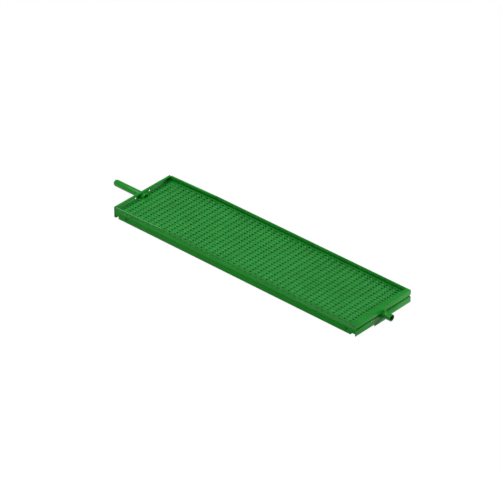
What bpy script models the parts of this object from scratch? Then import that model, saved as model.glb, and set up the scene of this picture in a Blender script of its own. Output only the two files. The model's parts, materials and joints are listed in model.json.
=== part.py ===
"""Straight slide tray with a perforated floor, carried on an axle end at each end.

Metres, +Z up.  +X is the head end, where the short hollow stub stands out.
-X is the foot end, where the last stretch of the tray dips and the long bar stands out.
+Y is the right side.  The origin lies under the middle of the overall length, on the
plane that the two end lugs stand on.
"""
import math

import bmesh
import bpy
from mathutils import Vector

# ---------------------------------------------------------------- driving sizes (metres)
FRAME_LENGTH = 1.500
FRAME_WIDTH = 0.385
FRAME_HEIGHT = 0.0645
LOWER_HEIGHT = 0.0295
GROOVE_HEIGHT = 0.0112
LUG_DROP = 0.0100
LUG_WIDTH = 0.118

RUNOFF_LENGTH = 0.300
RUNOFF_DROP = 0.0079
FLOOR_DROP = 0.0118

FRAME_SHEET = 0.0025
TRAY_SHEET = 0.0020
GAP = 0.0003

FLOOR_DEPTH = 0.0200
RIM_WIDTH = 0.0050
HUB_SLOT_CLEARANCE = 0.0020

FOOT_FLANGE = 0.0115
FOOT_FLANGE_NOTCH = 0.0085
HEAD_FLANGE = 0.0235
HEAD_SOLE_DEPTH = 0.0250
HEAD_SOLE_SETBACK = 0.0240
RAIL_FLANGE = 0.0180
RAIL_NOTCH_HEIGHT = 0.0120
RAIL_NOTCH_FOOT = 0.0160
RAIL_NOTCH_HEAD = 0.0270
SKIRT_OVERLAP = 0.0155

BEARER_WIDTH = 0.0240
BEARER_HEIGHT = 0.0200
BEARER_WALL = 0.0020
BEARER_END_WALL = 0.0040
BEARER_FOOT_INSET = 0.0790
BEARER_HEAD_INSET = 0.0540
MIDDLE_BEARERS = 4

AXLE_HEIGHT = 0.0296
AXLE_DIAMETER = 0.0337
AXLE_WALL = 0.0032
BAR_REACH = 0.168
STUB_REACH = 0.0514
BUSH_WALL = 0.0018
HUB_DIAMETER = 0.0440
HUB_SHOULDER_DIAMETER = 0.0480
HUB_SHOULDER = 0.0030
HUB_PROUD = 0.0030
HUB_LENGTH = 0.0180
HUB_LIP = 0.0025
COLLAR_DIAMETER = 0.0460
COLLAR_LENGTH = 0.0100
GRUB_DIAMETER = 0.0060
PLUG_DIAMETER = 0.0290
PLUG_PROUD = 0.0080
PLUG_ROUND = 0.0040
PLUG_LENGTH = 0.0060
PLUG_WALL = 0.0030

FIXING_HOLE_DIAMETER = 0.0090
FIXING_HOLE_SPACING = 0.0950
FIXING_HOLE_RISE = 0.0070

BOLT_DIAMETER = 0.0060
BOLT_HEIGHT = 0.0215
BOLT_HEAD_DIAMETER = 0.0140
BOLT_HEAD_HEIGHT = 0.0034
NUT_ACROSS_FLATS = 0.0100
NUT_HEIGHT = 0.0050
WASHER_DIAMETER = 0.0120
WASHER_THICKNESS = 0.0016

BRACKET_LEG = 0.0350
BRACKET_SHEET = 0.0030
UPPER_BRACKET_LEG = 0.0220
BRACKET_HOLE_DIAMETER = 0.0075
BRACKET_HOLE_INSET = 0.0113
BRACKET_HOLE_HEIGHT = 0.0480

ROUND_SEGMENTS = 48
SMALL_SEGMENTS = 24

# ---------------------------------------------------------------- places worked out from them
FRAME_X = (BAR_REACH + PLUG_PROUD - STUB_REACH) / 2.0
FRAME_Z = LUG_DROP
FOOT_X = -FRAME_LENGTH / 2.0
HEAD_X = FRAME_LENGTH / 2.0
SIDE_Y = FRAME_WIDTH / 2.0
KINK_X = FOOT_X + RUNOFF_LENGTH
FOOT_WEB_X = FOOT_X + FRAME_SHEET
HEAD_WEB_X = HEAD_X - FRAME_SHEET
RAIL_FOOT_X = FOOT_X + FOOT_FLANGE + GAP
RAIL_HEAD_X = HEAD_WEB_X - GAP
RAIL_INNER_Y = SIDE_Y - FRAME_SHEET
SKIRT_OUTER_Y = RAIL_INNER_Y - GAP
SKIRT_INNER_Y = SKIRT_OUTER_Y - TRAY_SHEET
INNER_Y = SKIRT_INNER_Y - GAP
FLOOR_FOOT_X = FOOT_WEB_X + GAP
HEAD_SHEET_X = HEAD_WEB_X - GAP - TRAY_SHEET
FLOOR_HEAD_X = HEAD_SHEET_X - GAP
SKIRT_BOTTOM_Z = LOWER_HEIGHT - SKIRT_OVERLAP
UPPER_BOTTOM_Z = LOWER_HEIGHT + GROOVE_HEIGHT
FOOT_BEARER_X = FOOT_X + BEARER_FOOT_INSET
HEAD_BEARER_X = HEAD_X - BEARER_HEAD_INSET
BOLT_HOLE_RADIUS = BOLT_DIAMETER / 2.0 + GAP
AXLE_RADIUS = AXLE_DIAMETER / 2.0
BUSH_INNER_RADIUS = AXLE_RADIUS + GAP
BUSH_OUTER_RADIUS = BUSH_INNER_RADIUS + BUSH_WALL
HUB_INNER_RADIUS = BUSH_OUTER_RADIUS + GAP
HUB_RADIUS = HUB_DIAMETER / 2.0
COLLAR_RADIUS = COLLAR_DIAMETER / 2.0
SHOULDER_RADIUS = HUB_SHOULDER_DIAMETER / 2.0
COLLAR_END = HUB_LENGTH + GAP + COLLAR_LENGTH
HUB_SLOT_LENGTH = COLLAR_END - HUB_PROUD + HUB_SLOT_CLEARANCE
HUB_SLOT_Y = SHOULDER_RADIUS + HUB_SLOT_CLEARANCE

STEEL_GREEN = (0.022, 0.195, 0.035, 1.0)
DEEP_GREEN = (0.012, 0.145, 0.018, 1.0)
FLOOR_GREEN = (0.027, 0.205, 0.045, 1.0)
BRONZE = (0.42, 0.27, 0.11, 1.0)
ZINC = (0.50, 0.52, 0.50, 1.0)
BLACK_STEEL = (0.05, 0.05, 0.05, 1.0)


def rim_top(x):
    """Height of the rim's upper face above the frame's underside at a place along it."""
    if x >= KINK_X:
        return FRAME_HEIGHT
    return FRAME_HEIGHT - RUNOFF_DROP * (KINK_X - x) / RUNOFF_LENGTH


def floor_top(x):
    """Height of the floor's upper face; in the dip the floor falls more than the rims do."""
    fall = FLOOR_DROP * max(0.0, KINK_X - x) / RUNOFF_LENGTH
    return FRAME_HEIGHT - FLOOR_DEPTH - fall


def floor_underside(x):
    return floor_top(x) - TRAY_SHEET


# ---------------------------------------------------------------- scene and helpers
def clear_scene():
    for item in list(bpy.data.objects):
        bpy.data.objects.remove(item, do_unlink=True)


def new_collection(name):
    collection = bpy.data.collections.new(name)
    bpy.context.scene.collection.children.link(collection)
    return collection


def paint(name, colour, roughness, metallic):
    material = bpy.data.materials.new(name)
    material.use_nodes = True
    shader = material.node_tree.nodes["Principled BSDF"]
    shader.inputs["Base Color"].default_value = colour
    shader.inputs["Roughness"].default_value = roughness
    shader.inputs["Metallic"].default_value = metallic
    material.diffuse_color = colour
    return material


clear_scene()
PARTS = new_collection("straight_slide_tray")
CUTTERS = new_collection("cutters")


def add_object(name, mesh, collection, location=(0.0, 0.0, 0.0)):
    """Link a mesh at a place given in the frame's own coordinates."""
    item = bpy.data.objects.new(name, mesh)
    item.location = Vector(location) + Vector((FRAME_X, 0.0, FRAME_Z))
    collection.objects.link(item)
    return item


def dress(item, colour, roughness=0.35, metallic=0.0):
    item.data.materials.clear()
    item.data.materials.append(paint(item.name + "_finish", colour, roughness, metallic))
    return item


def smooth(item, angle=math.radians(35.0)):
    item.data.shade_smooth()
    item.data.set_sharp_from_angle(angle=angle)
    return item


def mesh_from(name, build):
    mesh = bpy.data.meshes.new(name)
    work = bmesh.new()
    build(work)
    bmesh.ops.recalc_face_normals(work, faces=work.faces)
    work.to_mesh(mesh)
    work.free()
    return mesh


def box(name, low, high, collection=PARTS):
    """A rectangular block between two corners."""
    low = Vector(low)
    high = Vector(high)

    def build(work):
        bmesh.ops.create_cube(work, size=1.0)
        bmesh.ops.scale(work, vec=high - low, verts=work.verts)

    return add_object(name, mesh_from(name, build), collection, (low + high) / 2.0)


def extruded(name, outlines, length, axis, centre, collection=PARTS):
    """A flat outline, with holes where more outlines lie inside the first, given a length.

    The outline's points are (y, z) for axis X, (x, z) for axis Y and (x, y) for axis Z.
    """
    curve = bpy.data.curves.new(name, "CURVE")
    curve.dimensions = "2D"
    curve.fill_mode = "BOTH"
    curve.extrude = length / 2.0
    for outline in outlines:
        spline = curve.splines.new("POLY")
        spline.points.add(len(outline) - 1)
        for point, place in zip(spline.points, outline):
            point.co = (place[0], place[1], 0.0, 1.0)
        spline.use_cyclic_u = True
    source = bpy.data.objects.new(name + "_outline", curve)
    turns = {"X": (math.pi / 2.0, 0.0, math.pi / 2.0), "Y": (math.pi / 2.0, 0.0, 0.0), "Z": (0.0, 0.0, 0.0)}
    source.rotation_euler = turns[axis]
    collection.objects.link(source)
    bpy.context.view_layer.update()
    graph = bpy.context.evaluated_depsgraph_get()
    mesh = bpy.data.meshes.new_from_object(source.evaluated_get(graph))
    mesh.transform(source.matrix_world)
    mesh.name = name
    bpy.data.objects.remove(source, do_unlink=True)
    work = bmesh.new()
    work.from_mesh(mesh)
    bmesh.ops.remove_doubles(work, verts=work.verts, dist=0.00001)
    bmesh.ops.recalc_face_normals(work, faces=work.faces)
    work.to_mesh(mesh)
    work.free()
    return add_object(name, mesh, collection, centre)


def rod(name, radius, length, axis, centre, segments=ROUND_SEGMENTS, collection=PARTS):
    """A plain cylinder along X, Y or Z."""
    def build(work):
        bmesh.ops.create_cone(work, cap_ends=True, segments=segments, radius1=radius,
                              radius2=radius, depth=length)

    item = add_object(name, mesh_from(name, build), collection, centre)
    item.rotation_euler = {"X": (0.0, math.pi / 2.0, 0.0), "Y": (math.pi / 2.0, 0.0, 0.0),
                           "Z": (0.0, 0.0, 0.0)}[axis]
    return item


def turned(name, profile, start_x, direction, segments=ROUND_SEGMENTS):
    """A closed (radius, distance) profile turned about the axle; distance runs into the tray."""
    mesh = bpy.data.meshes.new(name)
    work = bmesh.new()
    ring = [work.verts.new((radius, 0.0, -distance)) for radius, distance in profile]
    for first, second in zip(ring, ring[1:] + ring[:1]):
        on_axis = first.co.x == 0.0 and second.co.x == 0.0
        if not on_axis:
            work.edges.new((first, second))
    work.to_mesh(mesh)
    work.free()
    item = add_object(name, mesh, PARTS, (start_x, 0.0, AXLE_HEIGHT))
    item.rotation_euler = (0.0, direction * math.pi / 2.0, 0.0)
    screw = item.modifiers.new("turn", "SCREW")
    screw.axis = "Z"
    screw.steps = segments
    screw.render_steps = segments
    screw.use_merge_vertices = True
    screw.merge_threshold = 0.00001
    return item


def cut(item, cutter):
    cutter.hide_render = True
    cutter.display_type = "WIRE"
    step = item.modifiers.new("cut_" + cutter.name, "BOOLEAN")
    step.operation = "DIFFERENCE"
    step.solver = "EXACT"
    step.object = cutter
    return item


def join(item, other):
    other.hide_render = True
    other.display_type = "WIRE"
    step = item.modifiers.new("join_" + other.name, "BOOLEAN")
    step.operation = "UNION"
    step.solver = "EXACT"
    step.object = other
    return item


def circle(centre_a, centre_b, radius, segments=SMALL_SEGMENTS):
    turn = 2.0 * math.pi / segments
    return [(centre_a + radius * math.cos(i * turn), centre_b + radius * math.sin(i * turn))
            for i in range(segments)]


def side_name(base, side):
    return base + ("_left" if side < 0 else "_right")


# ---------------------------------------------------------------- lower frame
def foot_end_channel():
    """Full-height channel, open towards the tray, with a lug, a hub bore and two fixing holes."""
    top = rim_top(FOOT_X)
    section = [(FOOT_X, 0.0), (FOOT_X + FOOT_FLANGE, 0.0), (FOOT_X + FOOT_FLANGE, FRAME_SHEET),
               (FOOT_WEB_X, FRAME_SHEET), (FOOT_WEB_X, top - FRAME_SHEET),
               (FOOT_X + FOOT_FLANGE, top - FRAME_SHEET), (FOOT_X + FOOT_FLANGE, top), (FOOT_X, top)]
    channel = extruded("foot_end_channel", [section], FRAME_WIDTH, "Y", (0.0, 0.0, 0.0))
    join(channel, box("foot_lug", (FOOT_X, -LUG_WIDTH / 2.0, -LUG_DROP),
                      (FOOT_WEB_X, LUG_WIDTH / 2.0, FRAME_SHEET / 2.0), CUTTERS))
    bore = rod("foot_hub_bore", HUB_RADIUS + GAP, 4.0 * FRAME_SHEET, "X",
               (FOOT_X, 0.0, AXLE_HEIGHT), collection=CUTTERS)
    cut(channel, bore)
    for side in (-1, 1):
        hole = rod(side_name("fixing_hole", side), FIXING_HOLE_DIAMETER / 2.0, 4.0 * FRAME_SHEET, "X",
                   (FOOT_X, side * FIXING_HOLE_SPACING / 2.0, AXLE_HEIGHT + FIXING_HOLE_RISE),
                   SMALL_SEGMENTS, CUTTERS)
        cut(channel, hole)
        ends = sorted((side * (SIDE_Y - FOOT_FLANGE_NOTCH), side * (SIDE_Y + FRAME_SHEET)))
        cut(channel, box(side_name("flange_notch", side), (FOOT_WEB_X, ends[0], top - 2.0 * FRAME_SHEET),
                         (FOOT_X + FOOT_FLANGE + FRAME_SHEET, ends[1], top + FRAME_SHEET), CUTTERS))
    dress(channel, STEEL_GREEN)


def head_end_plate():
    """Lower head plate: a web with a lug, half round for the hub, and a short inward sole."""
    section = [(HEAD_X, 0.0), (HEAD_X, LOWER_HEIGHT), (HEAD_WEB_X, LOWER_HEIGHT),
               (HEAD_WEB_X, FRAME_SHEET), (HEAD_X - HEAD_SOLE_DEPTH, FRAME_SHEET),
               (HEAD_X - HEAD_SOLE_DEPTH, 0.0)]
    plate = extruded("head_end_plate", [section], FRAME_WIDTH, "Y", (0.0, 0.0, 0.0))
    join(plate, box("head_lug", (HEAD_WEB_X, -LUG_WIDTH / 2.0, -LUG_DROP),
                    (HEAD_X, LUG_WIDTH / 2.0, FRAME_SHEET / 2.0), CUTTERS))
    for side in (-1, 1):
        ends = sorted((side * (SIDE_Y - HEAD_SOLE_SETBACK), side * (SIDE_Y + FRAME_SHEET)))
        cut(plate, box(side_name("sole_setback", side),
                       (HEAD_X - HEAD_SOLE_DEPTH - FRAME_SHEET, ends[0], -FRAME_SHEET),
                       (HEAD_WEB_X, ends[1], FRAME_SHEET + FRAME_SHEET), CUTTERS))
    cut(plate, rod("head_hub_bore_lower", HUB_RADIUS + GAP, 4.0 * FRAME_SHEET, "X",
                   (HEAD_X, 0.0, AXLE_HEIGHT), collection=CUTTERS))
    dress(plate, STEEL_GREEN)


def head_end_angle():
    """Upper head angle: a web and the broad top flange, half round for the hub."""
    top = FRAME_HEIGHT
    section = [(HEAD_X, UPPER_BOTTOM_Z), (HEAD_X, top), (HEAD_X - HEAD_FLANGE, top),
               (HEAD_X - HEAD_FLANGE, top - FRAME_SHEET), (HEAD_WEB_X, top - FRAME_SHEET),
               (HEAD_WEB_X, UPPER_BOTTOM_Z)]
    angle = extruded("head_end_angle", [section], FRAME_WIDTH, "Y", (0.0, 0.0, 0.0))
    cut(angle, rod("head_hub_bore_upper", HUB_RADIUS + GAP, 4.0 * FRAME_SHEET, "X",
                   (HEAD_X, 0.0, AXLE_HEIGHT), collection=CUTTERS))
    dress(angle, STEEL_GREEN)


def side_rail(side):
    """Lower side rail: a web notched at both lower corners, with an inward flange."""
    name = side_name("side_rail", side)
    outer = side * SIDE_Y
    web = side * RAIL_INNER_Y
    lip = side * (SIDE_Y - RAIL_FLANGE)
    section = [(outer, 0.0), (outer, LOWER_HEIGHT), (web, LOWER_HEIGHT), (web, FRAME_SHEET),
               (lip, FRAME_SHEET), (lip, 0.0)]
    rail = extruded(name, [section], RAIL_HEAD_X - RAIL_FOOT_X, "X",
                    ((RAIL_HEAD_X + RAIL_FOOT_X) / 2.0, 0.0, 0.0))
    ends = sorted((side * (SIDE_Y + FRAME_SHEET), side * (SIDE_Y - RAIL_FLANGE - FRAME_SHEET)))
    spans = {"_foot_notch": (RAIL_FOOT_X - FRAME_SHEET, RAIL_FOOT_X + RAIL_NOTCH_FOOT),
             "_head_notch": (RAIL_HEAD_X - RAIL_NOTCH_HEAD, RAIL_HEAD_X + FRAME_SHEET)}
    for label, span in spans.items():
        cut(rail, box(name + label, (span[0], ends[0], -FRAME_SHEET), (span[1], ends[1], RAIL_NOTCH_HEIGHT),
                      CUTTERS))
    for label, x in (("_foot_hole", FOOT_BEARER_X), ("_head_hole", HEAD_BEARER_X)):
        cut(rail, rod(name + label, BOLT_HOLE_RADIUS, 4.0 * FRAME_SHEET, "Y", (x, outer, BOLT_HEIGHT),
                      SMALL_SEGMENTS, CUTTERS))
    dress(rail, DEEP_GREEN)


def bottom_pan():
    """Sheet that closes the underside, narrower between the foot notches and slotted for the hub."""
    edge = RAIL_INNER_Y - GAP
    narrow = SIDE_Y - RAIL_FLANGE
    notch_x = RAIL_FOOT_X + RAIL_NOTCH_FOOT
    slot_x = FOOT_X + HUB_SLOT_LENGTH
    end_x = RAIL_HEAD_X - RAIL_NOTCH_HEAD
    half = [(FLOOR_FOOT_X, narrow), (notch_x, narrow), (notch_x, edge), (end_x, edge)]
    slot = [(slot_x, HUB_SLOT_Y), (FLOOR_FOOT_X, HUB_SLOT_Y)]
    outline = slot + half + [(x, -y) for x, y in reversed(slot + half)]
    pan = extruded("bottom_pan", [outline], TRAY_SHEET, "Z", (0.0, 0.0, FRAME_SHEET + GAP + TRAY_SHEET / 2.0))
    dress(pan, DEEP_GREEN)


# ---------------------------------------------------------------- tray
def tray_side(side):
    """Upright side sheet of the tray, tucked inside the rail and following the dip."""
    step = TRAY_SHEET + GAP
    foot_end = FOOT_WEB_X + GAP
    under_foot_flange = rim_top(FOOT_X) - FRAME_SHEET - GAP
    under_head_flange = FRAME_HEIGHT - FRAME_SHEET - GAP
    outline = [(foot_end, SKIRT_BOTTOM_Z), (RAIL_HEAD_X, SKIRT_BOTTOM_Z), (RAIL_HEAD_X, under_head_flange),
               (HEAD_X - HEAD_FLANGE - GAP, under_head_flange),
               (HEAD_X - HEAD_FLANGE - GAP, FRAME_HEIGHT - step),
               (KINK_X, FRAME_HEIGHT - step), (RAIL_FOOT_X, rim_top(RAIL_FOOT_X) - step),
               (RAIL_FOOT_X, under_foot_flange), (foot_end, under_foot_flange)]
    holes = [circle(x, BOLT_HEIGHT, BOLT_HOLE_RADIUS) for x in (FOOT_BEARER_X, HEAD_BEARER_X)]
    holes.append(circle(HEAD_X - BRACKET_HOLE_INSET, BRACKET_HOLE_HEIGHT, BRACKET_HOLE_DIAMETER / 2.0))
    sheet = extruded(side_name("tray_side", side), [outline] + holes, TRAY_SHEET, "Y",
                     (0.0, side * (SKIRT_OUTER_Y - TRAY_SHEET / 2.0), 0.0))
    dress(sheet, STEEL_GREEN)


def tray_head_sheet():
    """Upright end sheet of the tray, tucked inside the head end and arched over the hub."""
    low = (HEAD_SHEET_X, -INNER_Y, SKIRT_BOTTOM_Z)
    high = (HEAD_SHEET_X + TRAY_SHEET, INNER_Y, FRAME_HEIGHT - FRAME_SHEET - GAP)
    sheet = box("tray_head_sheet", low, high)
    cut(sheet, rod("hub_arch", SHOULDER_RADIUS + GAP, 4.0 * TRAY_SHEET, "X", (HEAD_SHEET_X, 0.0, AXLE_HEIGHT),
                   collection=CUTTERS))
    dress(sheet, STEEL_GREEN)


def strip(name, start_x, end_x, top, thickness, width, centre_y, colour):
    """A flat strip whose upper face follows a height function between two places."""
    outline = [(start_x, top(start_x) - thickness), (end_x, top(end_x) - thickness),
               (end_x, top(end_x)), (start_x, top(start_x))]
    return dress(extruded(name, [outline], width, "Y", (0.0, centre_y, 0.0)), colour)


def rims(side):
    centre = side * (SIDE_Y - RIM_WIDTH / 2.0)
    strip(side_name("rim_runoff", side), RAIL_FOOT_X, KINK_X - GAP / 2.0, rim_top, TRAY_SHEET,
          RIM_WIDTH, centre, FLOOR_GREEN)
    strip(side_name("rim_main", side), KINK_X + GAP / 2.0, HEAD_X - HEAD_FLANGE - GAP, rim_top,
          TRAY_SHEET, RIM_WIDTH, centre, STEEL_GREEN)


def floors():
    width = 2.0 * INNER_Y
    runoff = strip("floor_runoff", FLOOR_FOOT_X, KINK_X - GAP / 2.0, floor_top, TRAY_SHEET, width, 0.0,
                   FLOOR_GREEN)
    slot_x = FOOT_X + HUB_SLOT_LENGTH
    cut(runoff, box("foot_hub_slot", (FOOT_X, -HUB_SLOT_Y, floor_underside(FOOT_X) - TRAY_SHEET),
                    (slot_x, HUB_SLOT_Y, floor_top(slot_x) + TRAY_SHEET), CUTTERS))
    main = strip("floor_main", KINK_X + GAP / 2.0, FLOOR_HEAD_X, floor_top, TRAY_SHEET, width, 0.0,
                 FLOOR_GREEN)
    slot_x = HEAD_X - HUB_SLOT_LENGTH
    cut(main, box("head_hub_slot", (slot_x, -HUB_SLOT_Y, floor_underside(slot_x) - TRAY_SHEET),
                  (HEAD_X, HUB_SLOT_Y, floor_top(slot_x) + TRAY_SHEET), CUTTERS))


def bearer_places():
    """Middles of the cross bearers: one at each bolted place, the first middle one at the kink."""
    step = (HEAD_BEARER_X - KINK_X) / MIDDLE_BEARERS
    return [FOOT_BEARER_X] + [KINK_X + i * step for i in range(MIDDLE_BEARERS)] + [HEAD_BEARER_X]


def cross_bearer(number, x, bolted):
    """Hollow bar between the tray sides; the bolted ones have end walls with a bolt hole."""
    half = BEARER_WIDTH / 2.0
    top = min(BOLT_HEIGHT + BEARER_HEIGHT / 2.0, floor_underside(x - half) - GAP)
    low = Vector((x - half, -INNER_Y, top - BEARER_HEIGHT))
    high = Vector((x + half, INNER_Y, top))
    name = "cross_bearer_%d" % number
    bearer = box(name, low, high)
    inset = BEARER_END_WALL if bolted else -BEARER_END_WALL
    wall = Vector((BEARER_WALL, inset, BEARER_WALL))
    cut(bearer, box(name + "_hollow", low + wall, high - wall, CUTTERS))
    if bolted:
        for side in (-1, 1):
            cut(bearer, rod(side_name(name + "_hole", side), BOLT_HOLE_RADIUS, 4.0 * BEARER_END_WALL, "Y",
                            (x, side * INNER_Y, BOLT_HEIGHT), SMALL_SEGMENTS, CUTTERS))
    dress(bearer, DEEP_GREEN)


def corner_bracket(name, corner_x, side, bottom, top, leg):
    """Angle cleat in an inside corner, one leg on the end piece and one on the tray side."""
    inward = -1.0 if corner_x > 0.0 else 1.0
    outline_side = side * INNER_Y
    start = corner_x + inward * GAP
    points = [(start, outline_side), (start + inward * leg, outline_side),
              (start + inward * leg, outline_side - side * BRACKET_SHEET),
              (start + inward * BRACKET_SHEET, outline_side - side * BRACKET_SHEET),
              (start + inward * BRACKET_SHEET, outline_side - side * leg),
              (start, outline_side - side * leg)]
    bracket = extruded(side_name(name, side), [points], top - bottom, "Z", (0.0, 0.0, (top + bottom) / 2.0))
    dress(bracket, DEEP_GREEN)


# ---------------------------------------------------------------- axle ends
def axle_end(label, web_x, direction, reach):
    """Hub, bush, retaining collar and journal at one end; direction points out of the tray."""
    face_x = web_x + direction * FRAME_SHEET
    hub_start = face_x + direction * HUB_PROUD
    shoulder_start = HUB_PROUD + FRAME_SHEET + GAP
    lip_radius = BUSH_INNER_RADIUS + GAP
    hub = turned(label + "_hub", [
        (lip_radius, 0.0), (HUB_RADIUS, 0.0), (HUB_RADIUS, shoulder_start),
        (SHOULDER_RADIUS, shoulder_start), (SHOULDER_RADIUS, shoulder_start + HUB_SHOULDER),
        (HUB_RADIUS, shoulder_start + HUB_SHOULDER), (HUB_RADIUS, HUB_LENGTH),
        (HUB_INNER_RADIUS, HUB_LENGTH), (HUB_INNER_RADIUS, HUB_LIP), (lip_radius, HUB_LIP)],
        hub_start, direction)
    dress(smooth(hub), DEEP_GREEN)
    bush = turned(label + "_bush", [
        (BUSH_INNER_RADIUS, HUB_LIP + GAP), (BUSH_OUTER_RADIUS, HUB_LIP + GAP),
        (BUSH_OUTER_RADIUS, HUB_LENGTH), (BUSH_INNER_RADIUS, HUB_LENGTH)], hub_start, direction)
    dress(smooth(bush), BRONZE, 0.3, 1.0)

    collar_outer_x = hub_start - direction * (HUB_LENGTH + GAP)
    collar = turned(label + "_collar", [
        (BUSH_INNER_RADIUS, 0.0), (COLLAR_RADIUS, 0.0), (COLLAR_RADIUS, COLLAR_LENGTH),
        (BUSH_INNER_RADIUS, COLLAR_LENGTH)], collar_outer_x, direction)
    collar_middle_x = collar_outer_x - direction * COLLAR_LENGTH / 2.0
    screw_depth = COLLAR_RADIUS - BUSH_INNER_RADIUS
    screw_z = AXLE_HEIGHT + BUSH_INNER_RADIUS + screw_depth / 2.0
    cut(collar, rod(label + "_grub_hole", GRUB_DIAMETER / 2.0 + GAP, 2.0 * screw_depth, "Z",
                    (collar_middle_x, 0.0, screw_z), SMALL_SEGMENTS, CUTTERS))
    dress(collar, ZINC, 0.35, 1.0)
    grub = rod(label + "_grub_screw", GRUB_DIAMETER / 2.0, screw_depth - GAP, "Z",
               (collar_middle_x, 0.0, screw_z - GAP / 2.0), SMALL_SEGMENTS)
    dress(smooth(grub), BLACK_STEEL, 0.4, 1.0)

    outer_x = face_x + direction * reach
    inner_x = collar_outer_x - direction * COLLAR_LENGTH
    bore = AXLE_RADIUS - AXLE_WALL
    tube = turned(label + "_tube", [
        (bore, 0.0), (AXLE_RADIUS, 0.0), (AXLE_RADIUS, abs(outer_x - inner_x)),
        (bore, abs(outer_x - inner_x))], outer_x, direction)
    dress(smooth(tube), STEEL_GREEN)
    return outer_x


def bar_plug(bar_end_x):
    """Push-in plug whose round-edged head stands out of the long bar's open end."""
    head = PLUG_DIAMETER / 2.0
    stem = AXLE_RADIUS - AXLE_WALL - GAP
    inner = stem - PLUG_WALL
    seat = PLUG_PROUD - GAP
    end = PLUG_PROUD + PLUG_LENGTH
    arc = [math.radians(angle) for angle in (0.0, 30.0, 60.0, 90.0)]
    nose = [(head - PLUG_ROUND * (1.0 - math.sin(a)), PLUG_ROUND * (1.0 - math.cos(a))) for a in arc]
    profile = [(0.0, 0.0)] + nose + [(head, seat), (stem, seat), (stem, end), (inner, end),
                                     (inner, PLUG_WALL), (0.0, PLUG_WALL)]
    dress(smooth(turned("bar_plug", profile, bar_end_x - PLUG_PROUD, -1.0)), DEEP_GREEN)


# ---------------------------------------------------------------- frame bolts
def frame_bolt(place, x, side):
    """Mushroom-head bolt through rail, tray side and bearer wall, with a washer and a nut."""
    tail = side_name(place, side)
    head_y = side * (SIDE_Y + GAP)
    wall_inner = INNER_Y - BEARER_END_WALL
    nut_inner = wall_inner - GAP - WASHER_THICKNESS - GAP - NUT_HEIGHT
    shank_length = SIDE_Y + GAP + BOLT_HEAD_HEIGHT / 2.0 - (nut_inner - GAP)
    bolt = rod("frame_bolt_" + tail, BOLT_DIAMETER / 2.0, shank_length, "Y",
               (x, side * (nut_inner - GAP + shank_length / 2.0), BOLT_HEIGHT), SMALL_SEGMENTS)

    def build(work):
        bmesh.ops.create_cone(work, cap_ends=True, segments=SMALL_SEGMENTS, radius1=BOLT_HEAD_DIAMETER / 2.0,
                              radius2=BOLT_HEAD_DIAMETER / 4.0, depth=BOLT_HEAD_HEIGHT)

    head = add_object("bolt_head_" + tail, mesh_from("bolt_head_" + tail, build), CUTTERS,
                      (x, head_y + side * BOLT_HEAD_HEIGHT / 2.0, BOLT_HEIGHT))
    head.rotation_euler = (-side * math.pi / 2.0, 0.0, 0.0)
    join(bolt, head)
    dress(bolt, BLACK_STEEL, 0.4, 1.0)

    washer_y = side * (wall_inner - GAP - WASHER_THICKNESS / 2.0)
    washer = extruded("frame_washer_" + tail,
                      [circle(0.0, 0.0, WASHER_DIAMETER / 2.0), circle(0.0, 0.0, BOLT_HOLE_RADIUS)],
                      WASHER_THICKNESS, "Y", (x, washer_y, BOLT_HEIGHT))
    dress(washer, ZINC, 0.35, 1.0)
    corner = NUT_ACROSS_FLATS / math.sqrt(3.0)
    hexagon = [(corner * math.sin(i * math.pi / 3.0), corner * math.cos(i * math.pi / 3.0)) for i in range(6)]
    nut = extruded("frame_nut_" + tail, [hexagon, circle(0.0, 0.0, BOLT_HOLE_RADIUS)], NUT_HEIGHT, "Y",
                   (x, side * (nut_inner + NUT_HEIGHT / 2.0), BOLT_HEIGHT))
    dress(nut, ZINC, 0.35, 1.0)


# ---------------------------------------------------------------- assembly
foot_end_channel()
head_end_plate()
head_end_angle()
bottom_pan()
tray_head_sheet()
floors()
for hand in (-1, 1):
    side_rail(hand)
    tray_side(hand)
    rims(hand)
    corner_bracket("foot_bracket", FOOT_WEB_X, hand, RAIL_NOTCH_HEIGHT + GAP,
                   floor_underside(FLOOR_FOOT_X) - GAP, BRACKET_LEG)
    corner_bracket("head_bracket", HEAD_SHEET_X, hand, RAIL_NOTCH_HEIGHT + GAP, LOWER_HEIGHT, BRACKET_LEG)
    corner_bracket("head_upper_bracket", HEAD_SHEET_X, hand, FRAME_HEIGHT - FLOOR_DEPTH + GAP,
                   FRAME_HEIGHT - FRAME_SHEET - GAP, UPPER_BRACKET_LEG)

places = bearer_places()
for index, place_x in enumerate(places):
    cross_bearer(index + 1, place_x, index in (0, len(places) - 1))

foot_bar_end = axle_end("foot", FOOT_WEB_X, -1.0, BAR_REACH)
axle_end("head", HEAD_WEB_X, 1.0, STUB_REACH)
bar_plug(foot_bar_end)

for hand in (-1, 1):
    frame_bolt("foot", FOOT_BEARER_X, hand)
    frame_bolt("head", HEAD_BEARER_X, hand)
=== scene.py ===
"""Straight slide tray in green enamel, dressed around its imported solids.

Metres, in the part's own frame: +X is the head end with the short hollow stub, -X the foot end
with the dipped run-off and the long bar, +Y the right side and +Z up.
"""
import json
import math

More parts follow.
